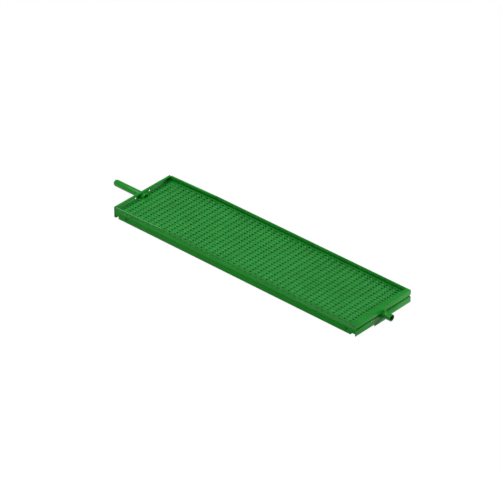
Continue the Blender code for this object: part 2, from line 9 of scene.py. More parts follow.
import bmesh
import bpy
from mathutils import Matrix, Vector


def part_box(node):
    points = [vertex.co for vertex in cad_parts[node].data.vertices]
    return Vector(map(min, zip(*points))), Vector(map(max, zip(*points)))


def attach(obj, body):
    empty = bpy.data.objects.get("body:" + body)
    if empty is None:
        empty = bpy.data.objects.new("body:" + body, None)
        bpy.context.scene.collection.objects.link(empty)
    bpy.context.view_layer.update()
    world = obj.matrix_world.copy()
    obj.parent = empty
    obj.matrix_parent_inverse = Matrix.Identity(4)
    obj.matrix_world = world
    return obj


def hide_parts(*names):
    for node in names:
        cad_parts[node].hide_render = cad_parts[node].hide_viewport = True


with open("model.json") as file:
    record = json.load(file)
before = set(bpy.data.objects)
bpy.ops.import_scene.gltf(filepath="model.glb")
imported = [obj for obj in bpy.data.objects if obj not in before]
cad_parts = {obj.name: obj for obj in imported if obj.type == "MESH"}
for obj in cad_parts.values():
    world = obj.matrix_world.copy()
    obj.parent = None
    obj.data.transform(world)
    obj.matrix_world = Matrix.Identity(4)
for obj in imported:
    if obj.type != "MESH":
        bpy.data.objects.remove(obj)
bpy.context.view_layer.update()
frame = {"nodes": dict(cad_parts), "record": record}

MM = 0.001
WELD = 0.001 * MM
FLAT_ANGLE = math.radians(0.5)

# ---------------------------------------------------------------- places read from the solids
FOOT_FACE_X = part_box("foot_end_channel")[0].x
HEAD_FACE_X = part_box("head_end_angle")[1].x
MIDDLE_X = (FOOT_FACE_X + HEAD_FACE_X) / 2.0
UNDERSIDE_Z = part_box("side_rail_left")[0].z
RIM_TOP_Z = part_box("head_end_angle")[1].z
RIM_FOOT_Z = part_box("foot_end_channel")[1].z
KINK_X = (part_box("rim_main_left")[0].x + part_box("rim_runoff_left")[1].x) / 2.0
RUNOFF_FALL = (RIM_TOP_Z - RIM_FOOT_Z) / (KINK_X - FOOT_FACE_X)
FLOOR_FOOT_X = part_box("floor_runoff")[0].x
FLOOR_FALL = ((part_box("floor_runoff")[1].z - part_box("floor_runoff")[0].z
               - (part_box("floor_main")[1].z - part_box("floor_main")[0].z)) / (KINK_X - FLOOR_FOOT_X))
FLOOR_HEAD_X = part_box("floor_main")[1].x
FLOOR_HALF_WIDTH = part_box("floor_main")[1].y
FLOOR_DEPTH = RIM_TOP_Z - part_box("floor_main")[1].z
HUB_SLOT_CLEARANCE = 2.0 * MM
PAN_SLIT_SHARE = 0.05
HEAD_SLOT_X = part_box("head_collar")[0].x - HUB_SLOT_CLEARANCE

# ---------------------------------------------------------------- pressed floor
ROW_PITCH = 33.83 * MM
COLUMN_PITCH = 18.5 * MM
ROWS_HEADWARD = 16
ROWS_FOOTWARD = 26
FIRST_ROW_X = MIDDLE_X + 149.3 * MM
COLUMNS = 20
FIELD_Y = COLUMNS * COLUMN_PITCH / 2.0
# The places where tiles are left out end this share of a pitch from the middle of a tile.
FIELD_MARGIN = 0.25
SHEET_DROP = 1.2 * MM
SHEET_THICKNESS = 0.9 * MM
HOLE_RADIUS = 4.6 * MM
HOLE_LIP = 1.4 * MM
HOLE_DRAW = 1.0 * MM
HOLE_STRIP = 13.6 * MM
CORNER_ROWS = 2
CORNER_COLUMNS = 2
RIDGE_LENGTH = 19.4 * MM
RIDGE_WIDTH = 11.5 * MM
RIDGE_HEIGHT = 3.0 * MM
# Shares of half the length, half the width and the height, from the foot of the ridge to its crest.
RIDGE_PROFILE = ((1.0, 1.0, 0.0), (0.93, 0.78, 0.50), (0.78, 0.45, 0.87), (0.55, 0.12, 1.0))
TILE_SIDES = 10
TILE_WELD = 0.02 * MM
HUB_SLOT_Y = 1.5 * COLUMN_PITCH
# The plain patches beside the hub end at 2 and at 1.5 pitches, and a tenth allows for rounding.
HUB_HOLE_PATCH_Y = 2.1 * COLUMN_PITCH
HUB_RIDGE_PATCH_Y = 1.6 * COLUMN_PITCH

# ---------------------------------------------------------------- dents in the tray sides
DENT_LENGTH = 11.0 * MM
DENT_HEIGHT = 12.0 * MM
DENT_DEPTH = 2.0 * MM
BUMP_SHARE = 0.6
DENT_SEGMENTS = 16
DENT_RINGS = 10
DENT_BELOW_RIM = 10.5 * MM

# ---------------------------------------------------------------- edges
EDGE_ANGLE = math.radians(40.0)
FOLD_RADIUS = 0.9 * MM
CUT_RADIUS = 0.4 * MM
EDGE_SEGMENTS = 2

# ---------------------------------------------------------------- grain and depth of the finishes
CLOUD_SIZE = 80.0 * MM
SPECK_SIZE = 6.0 * MM
PEEL_SIZE = 2.5 * MM
PEEL_DEPTH = 0.15 * MM
PEEL_STRENGTH = 0.12
ENAMEL_IOR = 1.5
# The noise goes from all thick coat at the first value to all thin coat at the second.
THIN_COAT_RANGE = (0.55, 0.95)
# The clouds go from the first of these values to the second, and the roughness follows them.
CLOUD_RANGE = (0.35, 0.65)
ENAMEL_ROUGHNESS_SPREAD = (-0.03, 0.05)
BLOTCH_SIZE = 9.0 * MM
MARK_STRETCH = (1.0, 0.08, 0.08)
MARK_DEPTH = 0.05 * MM
MARK_STRENGTH = 0.2
METAL_ROUGHNESS_SPREAD = (-0.08, 0.12)

# ---------------------------------------------------------------- painted reflection: a paler, greyer band on the foot web
REFLECTION_BAND_COLOUR = "#48904b"
# Each edge of the band fades in from its first value to its second.
REFLECTION_BAND_X = (FOOT_FACE_X + 1.2 * MM, FOOT_FACE_X + 2.0 * MM)
REFLECTION_BAND_HUB_Y = (46.0 * MM, 56.0 * MM)
REFLECTION_BAND_CORNER_Y = (172.0 * MM, 160.0 * MM)
REFLECTION_BAND_TOP_Z = (58.0 * MM, 53.0 * MM)

# ---------------------------------------------------------------- floor, glow and lamps
WHITE = (1.0, 1.0, 1.0, 1.0)
GROUND_SIZE = 60.0
GROUND_Z = -0.5 * MM
GROUND_GREY = (0.40, 0.40, 0.40, 1.0)
GROUND_GLOW = 1.06
GROUND_GLOW_SHARE = 0.92
SKY_LIGHT = 0.20
SKY_SHOWN = 1.0
# Name, size, power and place of each lamp.
LAMPS = (("overhead_softbox", 2.4, 103.0, (-2.4, -0.75, 4.1)),
         ("side_fill", 2.5, 98.0, (0.3, -3.0, 3.5)),
         ("low_key_light", 1.5, 190.0, (3.36, 3.36, 1.55)))

# ---------------------------------------------------------------- view
VIEW_AZIMUTH = math.radians(42.136)
VIEW_ELEVATION = math.radians(32.894)
VIEW_DISTANCE = 18.898
VIEW_LENS = 294.1
VIEW_SENSOR = 36.0
VIEW_FAR = 200.0
AIM_RIGHT = -46.57 * MM
AIM_UP = 13.12 * MM


def floor_drop(x):
    """How far the floor lies below its level part at a place along the tray."""
    return FLOOR_FALL * max(0.0, KINK_X - x)


# ---------------------------------------------------------------- node helpers
def linear(hex_colour):
    """sRGB hex to the linear colour that the shaders use."""
    channels = [int(hex_colour[i:i + 2], 16) / 255.0 for i in (1, 3, 5)]
    return [c / 12.92 if c <= 0.04045 else ((c + 0.055) / 1.055) ** 2.4 for c in channels] + [1.0]


def add_node(tree, kind, values=None, links=None, **settings):
    """A node with its settings, socket values and incoming links, each socket by name or number."""
    node = tree.nodes.new(kind)
    for name, value in settings.items():
        setattr(node, name, value)
    for socket, value in (values or {}).items():
        node.inputs[socket].default_value = value
    for socket, source in (links or {}).items():
        tree.links.new(source, node.inputs[socket])
    return node


def new_material(name):
    """An empty material and its node tree."""
    material = bpy.data.materials.new(name)
    material.use_nodes = True
    material.node_tree.nodes.clear()
    return material, material.node_tree


# ---------------------------------------------------------------- finishes
def enamel(name, thin, thick, roughness, gloss):
    """Sprayed enamel on sheet steel: one green, a little paler where it lies thin.

    Orange peel breaks up the shine, and clouds a hand wide with small specks in them shift the tone
    between the thick coat and the thin one. The clouds shift the roughness too.
    """
    material, tree = new_material(name)
    place = add_node(tree, "ShaderNodeTexCoord").outputs["Object"]
    cloud = add_node(tree, "ShaderNodeTexNoise", {"Scale": 1.0 / CLOUD_SIZE, "Detail": 3.0},
                     {"Vector": place})
    speck = add_node(tree, "ShaderNodeTexNoise", {"Scale": 1.0 / SPECK_SIZE, "Detail": 3.0},
                     {"Vector": place})
    peel = add_node(tree, "ShaderNodeTexNoise", {"Scale": 1.0 / PEEL_SIZE, "Detail": 1.0},
                    {"Vector": place})
    tone = add_node(tree, "ShaderNodeMath", {1: 0.5}, {0: speck.outputs["Fac"], 2: cloud.outputs["Fac"]},
                    operation="MULTIPLY_ADD")
    share = add_node(tree, "ShaderNodeMapRange",
                     {"From Min": THIN_COAT_RANGE[0], "From Max": THIN_COAT_RANGE[1]},
                     {"Value": tone.outputs[0]})
    coat = add_node(tree, "ShaderNodeMix", {6: linear(thick), 7: linear(thin)}, {0: share.outputs[0]},
                    data_type="RGBA")
    dull = add_node(tree, "ShaderNodeMapRange",
                    {"From Min": CLOUD_RANGE[0], "From Max": CLOUD_RANGE[1],
                     "To Min": roughness + ENAMEL_ROUGHNESS_SPREAD[0],
                     "To Max": roughness + ENAMEL_ROUGHNESS_SPREAD[1]},
                    {"Value": cloud.outputs["Fac"]})
    bump = add_node(tree, "ShaderNodeBump", {"Strength": PEEL_STRENGTH, "Distance": PEEL_DEPTH},
                    {"Height": peel.outputs["Fac"]})
    shader = add_node(tree, "ShaderNodeBsdfPrincipled", {"IOR": ENAMEL_IOR, "Specular IOR Level": gloss},
                      {"Base Color": coat.outputs[2], "Roughness": dull.outputs[0],
                       "Normal": bump.outputs[0]})
    add_node(tree, "ShaderNodeOutputMaterial", None, {"Surface": shader.outputs[0]})
    return material


def paint_reflection_band(material):
    """Paints a painted reflection on the inner face of the foot web: a paler, greyer band from the hub's
    sides to near the corners, standing in for the sheen of the web under the flange.
    """
    tree = material.node_tree
    shader = next(node for node in tree.nodes if node.type == "BSDF_PRINCIPLED")
    coat = shader.inputs["Base Color"].links[0].from_socket
    place = add_node(tree, "ShaderNodeTexCoord").outputs["Object"]
    spot = add_node(tree, "ShaderNodeSeparateXYZ", None, {0: place})
    across = add_node(tree, "ShaderNodeMath", None, {0: spot.outputs["Y"]}, operation="ABSOLUTE")
    share = None
    for value, (start, full) in ((spot.outputs["X"], REFLECTION_BAND_X), (across.outputs[0], REFLECTION_BAND_HUB_Y),
                                 (across.outputs[0], REFLECTION_BAND_CORNER_Y), (spot.outputs["Z"], REFLECTION_BAND_TOP_Z)):
        edge = add_node(tree, "ShaderNodeMapRange", {"From Min": start, "From Max": full}, {"Value": value})
        if share is None:
            share = edge.outputs[0]
        else:
            share = add_node(tree, "ShaderNodeMath", None, {0: share, 1: edge.outputs[0]},
                             operation="MULTIPLY").outputs[0]
    # The band's paler, greyer colour is a painted reflection, mixed into the coat.
    reflection_mixed = add_node(tree, "ShaderNodeMix", {7: linear(REFLECTION_BAND_COLOUR)}, {0: share, 6: coat},
                      data_type="RGBA")
    tree.links.new(reflection_mixed.outputs[2], shader.inputs["Base Color"])
    return material


def metal(name, dark, light, roughness, grain):
    """Bare or plated metal: fine machining marks square to the axles and faint blotches in its tone."""
    material, tree = new_material(name)
    place = add_node(tree, "ShaderNodeTexCoord").outputs["Object"]
    stretched = add_node(tree, "ShaderNodeMapping", {"Scale": MARK_STRETCH}, {"Vector": place})
    marks = add_node(tree, "ShaderNodeTexNoise", {"Scale": 1.0 / grain, "Detail": 4.0},
                     {"Vector": stretched.outputs[0]})
    blotch = add_node(tree, "ShaderNodeTexNoise", {"Scale": 1.0 / BLOTCH_SIZE, "Detail": 4.0},
                      {"Vector": place})
    tone = add_node(tree, "ShaderNodeMix", {6: linear(dark), 7: linear(light)}, {0: blotch.outputs["Fac"]},
                    data_type="RGBA")
    rough = add_node(tree, "ShaderNodeMapRange",
                     {"To Min": roughness + METAL_ROUGHNESS_SPREAD[0],
                      "To Max": roughness + METAL_ROUGHNESS_SPREAD[1]},
                     {"Value": marks.outputs["Fac"]})
    bump = add_node(tree, "ShaderNodeBump", {"Strength": MARK_STRENGTH, "Distance": MARK_DEPTH},
                    {"Height": marks.outputs["Fac"]})
    shader = add_node(tree, "ShaderNodeBsdfPrincipled", {"Metallic": 1.0},
                      {"Base Color": tone.outputs[2], "Roughness": rough.outputs[0],
                       "Normal": bump.outputs[0]})
    add_node(tree, "ShaderNodeOutputMaterial", None, {"Surface": shader.outputs[0]})
    return material


FRAME_PAINT = enamel("frame_enamel_satin", "#198929", "#137f22", 0.34, 0.23)
# The foot web's coat carries a painted reflection band.
FOOT_WEB_REFLECTION_PAINT = paint_reflection_band(enamel("foot_web_enamel_painted_reflection", "#198929", "#137f22", 0.34, 0.23))
# The run-off rims are painted paler as a painted highlight: the light line along their tops.
RUNOFF_RIM_HIGHLIGHT_PAINT = enamel("rim_enamel_painted_highlight", "#43a94d", "#3c9f46", 0.34, 0.36)
# The side rails' matt finish is their own; their darker green is painted shade on the lower band of the
# sides.
RAIL_MATT_SHADE_PAINT = enamel("rail_enamel_matt_painted_shade", "#148620", "#107c1b", 0.48, 0.08)
TRAY_PAINT = enamel("tray_enamel_satin", "#178a25", "#127f1f", 0.40, 0.31)
FLOOR_PAINT = enamel("floor_enamel_gloss", "#1a892d", "#147e26", 0.36, 0.42)
# The bolt heads' dark green is painted shade: the shade under and round each head.
BOLT_SHADE_PAINT = enamel("bolt_enamel_painted_shade", "#0b5c14", "#084f10", 0.45, 0.10)
# The inner coat's deep, saturated green is painted shade: the dark of the groove behind the head end and of
# the tray's insides.
INNER_SHADE_PAINT = enamel("inner_enamel_painted_shade", "#047a0a", "#036e08", 0.50, 0.02)
AXLE_PAINT = enamel("axle_enamel_gloss", "#158a20", "#107e1a", 0.30, 0.25)
PAINT_OF_SLOT = {
    "frame_enamel": FRAME_PAINT,
    "tray_enamel": TRAY_PAINT,
    "floor_enamel": FLOOR_PAINT,
    "inner_enamel": INNER_SHADE_PAINT,
    "axle_enamel": AXLE_PAINT,
    "bush_bronze": metal("sintered_bronze", "#8f6d3a", "#b08d55", 0.38, 0.5 * MM),
    "zinc_plate": metal("zinc_plate", "#9fa4a4", "#bfc3c2", 0.32, 0.4 * MM),
    "black_oxide": metal("black_oxide_steel", "#181918", "#2a2b2a", 0.42, 0.4 * MM),
}
SLOT_OF_NODE = {entry["node"]: entry["material_slot"] for entry in frame["record"]["subparts"]}
NODES_OF_BODY = frame["record"]["behaviour"]["bodies"]
BODY_OF_NODE = {node: body for body, nodes in NODES_OF_BODY.items() for node in nodes}


def finish_of(node):
    """A node's paint: its slot's, apart from the pieces with painted light. These are the side rails, whose
    matt coat is darker as painted shade, the bolts and the head sheet, painted deep green as shade, the
    foot web with its painted reflection band, and the run-off rims, painted paler as a highlight.
    """
    # The side rails take the matt coat, darker as painted shade.
    if node.startswith("side_rail"):
        return RAIL_MATT_SHADE_PAINT
    # The bolts take the deep green coat, painted shade round their heads.
    if node.startswith("frame_bolt"):
        return BOLT_SHADE_PAINT
    # The head sheet behind the groove takes the deep inner coat as painted shade in the groove.
    if node == "tray_head_sheet":
        return INNER_SHADE_PAINT
    # The foot web takes the coat with the painted reflection band.
    if node == "foot_end_channel":
        return FOOT_WEB_REFLECTION_PAINT
    # The run-off rims take the paler coat, a painted highlight along their tops.
    if node.startswith("rim_runoff"):
        return RUNOFF_RIM_HIGHLIGHT_PAINT
    return PAINT_OF_SLOT[SLOT_OF_NODE[node]]


# ---------------------------------------------------------------- mesh helpers
def link(name, mesh):
    """A new object with this mesh, in the scene."""
    item = bpy.data.objects.new(name, mesh)
    bpy.context.scene.collection.objects.link(item)
    return item


def mesh_of(name, work):
    """The working mesh as a finished one."""
    mesh = bpy.data.meshes.new(name)
    work.to_mesh(mesh)
    work.free()
    return mesh


def settle(item):
    """The evaluated object as a plain mesh, with its modifiers gone."""
    bpy.context.view_layer.update()
    graph = bpy.context.evaluated_depsgraph_get()
    mesh = bpy.data.meshes.new_from_object(item.evaluated_get(graph))
    item.modifiers.clear()
    item.data = mesh
    return item


def smooth(item):
    """Shades round faces smooth and keeps sharp edges sharp."""
    item.data.shade_smooth()
    item.data.set_sharp_from_angle(angle=EDGE_ANGLE)
    return item


def merged_copy(node, name):
    """A node's shape as a closed mesh with its flat faces whole."""
    work = bmesh.new()
    work.from_mesh(frame["nodes"][node].data)
    bmesh.ops.remove_doubles(work, verts=work.verts, dist=WELD)
    bmesh.ops.dissolve_limit(work, angle_limit=FLAT_ANGLE, verts=work.verts, edges=work.edges)
    return link(name, mesh_of(name, work))


def round_edges(item, radius):
    """Rounds every sharp edge, as a fold or as a deburred cut."""
    bevel = item.modifiers.new("edges", "BEVEL")
    bevel.width = radius
    bevel.segments = EDGE_SEGMENTS
    bevel.limit_method = "ANGLE"
    bevel.angle_limit = EDGE_ANGLE
    bevel.use_clamp_overlap = True
    bevel.miter_outer = "MITER_ARC"
    settle(item)
    return smooth(item)


def stand_for(item, node):
    """Gives a finished piece its node's paint, body and slot, and shows it instead of the node."""
    item.data.materials.clear()
    item.data.materials.append(finish_of(node))
    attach(item, BODY_OF_NODE[node])
    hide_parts(node)


def rounded_piece(node, radius):
    """A node's shape with its sharp edges rounded, in the node's place."""
    stand_for(round_edges(merged_copy(node, node + "_finished"), radius), node)


def set_input(modifier, name, value):
    """Sets a tree's named input on a modifier by its socket identifier."""
    for item in modifier.node_group.interface.items_tree:
        if item.item_type == "SOCKET" and item.in_out == "INPUT" and item.name == name:
            modifier[item.identifier] = value


def new_tree(name, sockets):
    """A Geometry Nodes tree with named inputs, and its input and output nodes' sockets."""
    tree = bpy.data.node_groups.new(name, "GeometryNodeTree")
    tree.interface.new_socket("Geometry", in_out="INPUT", socket_type="NodeSocketGeometry")
    for socket, kind in sockets.items():
        tree.interface.new_socket(socket, in_out="INPUT", socket_type="NodeSocket" + kind)
    tree.interface.new_socket("Geometry", in_out="OUTPUT", socket_type="NodeSocketGeometry")
    return tree, add_node(tree, "NodeGroupInput").outputs


def close_tree(tree, pieces, finish):
    """Joins the pieces, makes copies real, welds touching borders and gives them their paint."""
    joined = add_node(tree, "GeometryNodeJoinGeometry")
    for piece in reversed(pieces):
        tree.links.new(piece, joined.inputs[0])
    real = add_node(tree, "GeometryNodeRealizeInstances", None, {"Geometry": joined.outputs[0]})
    welded = add_node(tree, "GeometryNodeMergeByDistance", {"Distance": TILE_WELD},
                      {"Geometry": real.outputs[0]})
    painted = add_node(tree, "GeometryNodeSetMaterial", None,
                       {"Geometry": welded.outputs[0], "Material": finish})
    add_node(tree, "NodeGroupOutput", None, {"Geometry": painted.outputs[0]})


# ---------------------------------------------------------------- pressed floor
def oval(half_along, half_across, z):
    """A ring of points round an oval at one height."""
    step = 2.0 * math.pi / TILE_SIDES
    return [(half_along * math.cos((i + 0.5) * step), half_across * math.sin((i + 0.5) * step), z)
            for i in range(TILE_SIDES)]


def tile(name, rings, half_along, half_across, capped):
    """A rectangle of sheet round a pressed shape, given as rings of points from outside to inside."""
    work = bmesh.new()
    loops = [[work.verts.new(point) for point in ring] for ring in rings]
    for first, second in zip(loops, loops[1:]):
        for i in range(TILE_SIDES):
            j = (i + 1) % TILE_SIDES
            work.faces.new((first[i], first[j], second[j], second[i]))
    if capped:
        work.faces.new(loops[-1])
    pressed = set(work.faces)
    corners = [(half_along, -half_across), (half_along, 0.0), (half_along, half_across),
               (-half_along, half_across), (-half_along, 0.0), (-half_along, -half_across)]
    border = [work.verts.new((x, y, 0.0)) for x, y in corners]
    edges = [work.edges.new((border[i - 1], border[i])) for i in range(len(border))]
    outer = loops[0]
    edges += [work.edges.get((outer[i - 1], outer[i])) for i in range(TILE_SIDES)]
    bmesh.ops.triangle_fill(work, use_beauty=True, use_dissolve=False, edges=edges)
    inside = [face for face in work.faces if face not in pressed and all(v in outer for v in face.verts)]
    bmesh.ops.delete(work, geom=inside, context="FACES_ONLY")
    bmesh.ops.recalc_face_normals(work, faces=work.faces)
    if sum(face.normal.z for face in work.faces) < 0.0:
        bmesh.ops.reverse_faces(work, faces=work.faces)
    return link(name, mesh_of(name, work))


def hole_tile():
    """A drawn hole: the sheet rolls over a flared lip and down into the hole."""
    flare = HOLE_RADIUS + HOLE_LIP
    rings = [oval(flare, flare, 0.0), oval(HOLE_RADIUS, HOLE_RADIUS, -HOLE_DRAW)]
    return tile("hole_tile", rings, HOLE_STRIP / 2.0, COLUMN_PITCH / 2.0, False)


def ridge_tile():
    """A raised ridge, long along the tray, pressed up between four holes."""
    long = RIDGE_LENGTH / 2.0
    wide = RIDGE_WIDTH / 2.0
    rings = [oval(along * long, across * wide, up * RIDGE_HEIGHT) for along, across, up in RIDGE_PROFILE]
    return tile("ridge_tile", rings, (ROW_PITCH - HOLE_STRIP) / 2.0, COLUMN_PITCH / 2.0, True)


def lattice_tree():
    """Sets the hole tiles at the points of a grid and the ridge tiles half a pitch away from them.

    Both stop short of the foot hub and of the field's end. The holes stop short of the foot corners.
    """
    tree, inputs = new_tree("pressed_lattice", {
        "Hole Tile": "Object", "Ridge Tile": "Object", "Pitch Along": "Float", "Pitch Across": "Float",
        "Hole Rows": "Int", "Hole Columns": "Int", "Centre": "Vector", "Field End": "Float",
        "Hub End": "Float", "Hub Half Width": "Float", "Corner End": "Float",
        "Corner Half Width": "Float", "Paint": "Material"})
    place = add_node(tree, "GeometryNodeInputPosition")
    spot = add_node(tree, "ShaderNodeSeparateXYZ", None, {0: place.outputs[0]})
    across = add_node(tree, "ShaderNodeMath", None, {0: spot.outputs["Y"]}, operation="ABSOLUTE")
    by_hub = add_node(tree, "ShaderNodeMath", None, {0: spot.outputs["X"], 1: inputs["Hub End"]},
                      operation="LESS_THAN")
    in_line = add_node(tree, "ShaderNodeMath", None, {0: across.outputs[0], 1: inputs["Hub Half Width"]},
                       operation="LESS_THAN")
    in_corner = add_node(tree, "ShaderNodeMath", None,
                         {0: across.outputs[0], 1: inputs["Corner Half Width"]}, operation="GREATER_THAN")
    by_corner = add_node(tree, "ShaderNodeMath", None, {0: spot.outputs["X"], 1: inputs["Corner End"]},
                         operation="LESS_THAN")
    at_hub = add_node(tree, "ShaderNodeMath", None, {0: by_hub.outputs[0], 1: in_line.outputs[0]},
                      operation="MULTIPLY")
    at_corner = add_node(tree, "ShaderNodeMath", None, {0: by_corner.outputs[0], 1: in_corner.outputs[0]},
                         operation="MULTIPLY")
    past_end = add_node(tree, "ShaderNodeMath", None, {0: spot.outputs["X"], 1: inputs["Field End"]},
                        operation="LESS_THAN")
    bare = add_node(tree, "ShaderNodeMath", None, {0: at_hub.outputs[0], 1: past_end.outputs[0]},
                    operation="MAXIMUM")
    unholed = add_node(tree, "ShaderNodeMath", None, {0: bare.outputs[0], 1: at_corner.outputs[0]},
                       operation="MAXIMUM")
    pieces = [inputs["Geometry"]]
    for shape, more_rows, more_columns, left_out in (("Hole Tile", 0.0, 0.0, unholed),
                                                     ("Ridge Tile", 1.0, -1.0, bare)):
        spans = []
        counts = []
        for number, pitch, more in (("Hole Rows", "Pitch Along", more_rows),
                                    ("Hole Columns", "Pitch Across", more_columns)):
            count = add_node(tree, "ShaderNodeMath", {1: more}, {0: inputs[number]}, operation="ADD")
            gaps = add_node(tree, "ShaderNodeMath", {1: 1.0}, {0: count.outputs[0]}, operation="SUBTRACT")
            span = add_node(tree, "ShaderNodeMath", None, {0: gaps.outputs[0], 1: inputs[pitch]},
                            operation="MULTIPLY")
            counts.append(count.outputs[0])
            spans.append(span.outputs[0])
        grid = add_node(tree, "GeometryNodeMeshGrid", None, {
            "Size X": spans[0], "Size Y": spans[1], "Vertices X": counts[0], "Vertices Y": counts[1]})
        placed = add_node(tree, "GeometryNodeTransform", None,
                          {"Geometry": grid.outputs["Mesh"], "Translation": inputs["Centre"]})
        kept = add_node(tree, "GeometryNodeDeleteGeometry", None,
                        {"Geometry": placed.outputs[0], "Selection": left_out.outputs[0]}, domain="POINT")
        pressed = add_node(tree, "GeometryNodeObjectInfo", None, {"Object": inputs[shape]})
        copies = add_node(tree, "GeometryNodeInstanceOnPoints", None,
                          {"Points": kept.outputs[0], "Instance": pressed.outputs["Geometry"]})
        pieces.append(copies.outputs[0])
    close_tree(tree, pieces, inputs["Paint"])
    return tree


def row_x(k):
    """The place along the tray of a row of holes, counted headward."""
    return FIRST_ROW_X + k * ROW_PITCH


def plain_sheet(name):
    """The plain sheet round the pressed field.

    It is a strip along each side, both ends with their slots, and the cells without holes at the
    foot corners, which lie over the notches of the side rails.
    """
    half_strip = HOLE_STRIP / 2.0
    ridge_y = FIELD_Y - COLUMN_PITCH / 2.0
    work = bmesh.new()

    def patch(x_steps, y_steps, slot_low=math.inf, slot_high=math.inf):
        """A grid of faces, open in the hub's line between two places along the tray."""
        grid = [[work.verts.new((x, y, 0.0)) for y in y_steps] for x in x_steps]
        for i in range(len(x_steps) - 1):
            for j in range(len(y_steps) - 1):
                in_line = abs(y_steps[j] + y_steps[j + 1]) < 2.0 * HUB_SLOT_Y
                in_slot = slot_low <= x_steps[i] < slot_high
                if not (in_line and in_slot):
                    work.faces.new((grid[i][j], grid[i + 1][j], grid[i + 1][j + 1], grid[i][j + 1]))

    for side in (-1.0, 1.0):
        wall = side * FLOOR_HALF_WIDTH
        for k in range(-ROWS_FOOTWARD, CORNER_ROWS - ROWS_FOOTWARD):
            patch([row_x(k) - half_strip, row_x(k) + half_strip],
                  sorted(side * (FIELD_Y - i * COLUMN_PITCH / 2.0) for i in range(2 * CORNER_COLUMNS + 1)))
        for k in range(-ROWS_FOOTWARD, ROWS_HEADWARD + 1):
            patch([row_x(k) - half_strip, row_x(k) + half_strip], sorted((side * FIELD_Y, wall)))
        for k in range(1 - ROWS_FOOTWARD, ROWS_HEADWARD + 2):
            patch([row_x(k - 1) + half_strip, row_x(k) - half_strip],
                  sorted((side * ridge_y, side * FIELD_Y, wall)))
    steps = [-FIELD_Y + i * COLUMN_PITCH / 2.0 for i in range(2 * COLUMNS + 1)]
    walls = [-FLOOR_HALF_WIDTH] + steps + [FLOOR_HALF_WIDTH]
    foot_row = row_x(-ROWS_FOOTWARD)
    patch([row_x(ROWS_HEADWARD + 1) - half_strip, HEAD_SLOT_X, FLOOR_HEAD_X], walls, HEAD_SLOT_X)
    patch([FLOOR_FOOT_X, foot_row - half_strip], walls, FLOOR_FOOT_X, foot_row)
    patch([foot_row - half_strip, foot_row + half_strip],
          [y for y in steps if abs(y) < HUB_HOLE_PATCH_Y], FLOOR_FOOT_X, foot_row)
    patch([foot_row + half_strip, row_x(1 - ROWS_FOOTWARD) - half_strip],
          [y for y in steps if abs(y) < HUB_RIDGE_PATCH_Y])
    return link(name, mesh_of(name, work))


def clipped(item, name, low_x, high_x):
    """A copy of the sheet, cut off square at two places along the tray."""
    work = bmesh.new()
    work.from_mesh(item.data)
    for x, way in ((low_x, -1.0), (high_x, 1.0)):
        everything = work.verts[:] + work.edges[:] + work.faces[:]
        bmesh.ops.bisect_plane(work, geom=everything, dist=WELD, plane_co=(x, 0.0, 0.0),
                               plane_no=(way, 0.0, 0.0), clear_outer=True)
    return link(name, mesh_of(name, work))


def pressed_floor():
    """The whole pressed pattern, laid along the level floor and the dip and cut at the kink."""
    tiles = (hole_tile(), ridge_tile())
    sheet = plain_sheet("pressed_pattern")
    lattice = sheet.modifiers.new("lattice", "NODES")
    lattice.node_group = lattice_tree()
    middle = (row_x(-ROWS_FOOTWARD) + row_x(ROWS_HEADWARD)) / 2.0
    for name, value in (("Hole Tile", tiles[0]), ("Ridge Tile", tiles[1]), ("Pitch Along", ROW_PITCH),
                        ("Pitch Across", COLUMN_PITCH), ("Hole Rows", ROWS_FOOTWARD + ROWS_HEADWARD + 1),
                        ("Hole Columns", COLUMNS), ("Centre", (middle, 0.0, 0.0)),
                        ("Field End", row_x(-ROWS_FOOTWARD - FIELD_MARGIN)),
                        ("Hub End", row_x(1.0 - FIELD_MARGIN - ROWS_FOOTWARD)),
                        ("Hub Half Width", HUB_SLOT_Y + FIELD_MARGIN * COLUMN_PITCH),
                        ("Corner End", row_x(CORNER_ROWS - 1.0 + FIELD_MARGIN - ROWS_FOOTWARD)),
                        ("Corner Half Width", FIELD_Y - (CORNER_COLUMNS - FIELD_MARGIN) * COLUMN_PITCH),
                        ("Paint", FLOOR_PAINT)):
        set_input(lattice, name, value)
    settle(sheet)
    level = RIM_TOP_Z - FLOOR_DEPTH - SHEET_DROP
    for vertex in sheet.data.vertices:
        vertex.co.z += level - floor_drop(vertex.co.x)
    for node in ("floor_main", "floor_runoff"):
        low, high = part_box(node)
        piece = clipped(sheet, "pressed_" + node, low.x, high.x)
        wall = piece.modifiers.new("thickness", "SOLIDIFY")
        wall.thickness = SHEET_THICKNESS
        wall.offset = -1.0
        stand_for(smooth(settle(piece)), node)
    for spent in tiles + (sheet,):
        bpy.data.objects.remove(spent, do_unlink=True)


